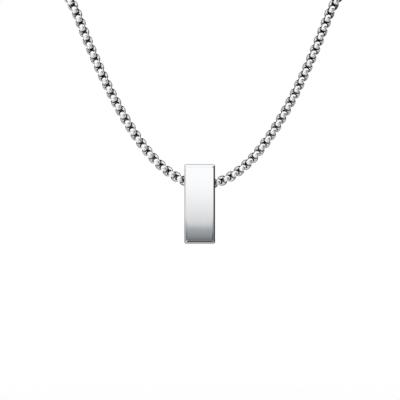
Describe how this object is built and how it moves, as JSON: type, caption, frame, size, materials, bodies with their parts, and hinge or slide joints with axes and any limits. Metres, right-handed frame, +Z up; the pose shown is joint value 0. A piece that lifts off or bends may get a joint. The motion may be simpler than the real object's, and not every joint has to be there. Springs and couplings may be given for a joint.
{
  "type": "plate pendant necklace",
  "caption": "Plain polished rectangular plate pendant hanging by a hidden tube bail on a round box chain, in its worn form round an open neck.",
  "frame": {"origin": "where the clasp's barrel rests on the nape of the neck, in the middle of the loop's back", "axes": "+Z up as worn, +Y to the back of the neck, so that the plate faces -Y, and +X to the right as seen from the front"},
  "size_m": [0.1314, 0.0881, 0.1286],
  "materials": {
    "plate": "mirror-polished steel, plain, with no marks",
    "chain": "polished steel",
    "clasp": "polished steel"
  },
  "bodies": {
    "necklace": {"chain_left": "chain", "chain_right": "chain", "clasp": "clasp"},
    "pendant": {"pendant": "plate"}
  },
  "joints": [
    {"name": "pendant_swing", "type": "hinge", "parent": "necklace", "child": "pendant", "pos_m": [-0.00127, -0.07828, -0.10468], "axis": [-1, 0, 0], "range_deg": [0, 90]}
  ]
}
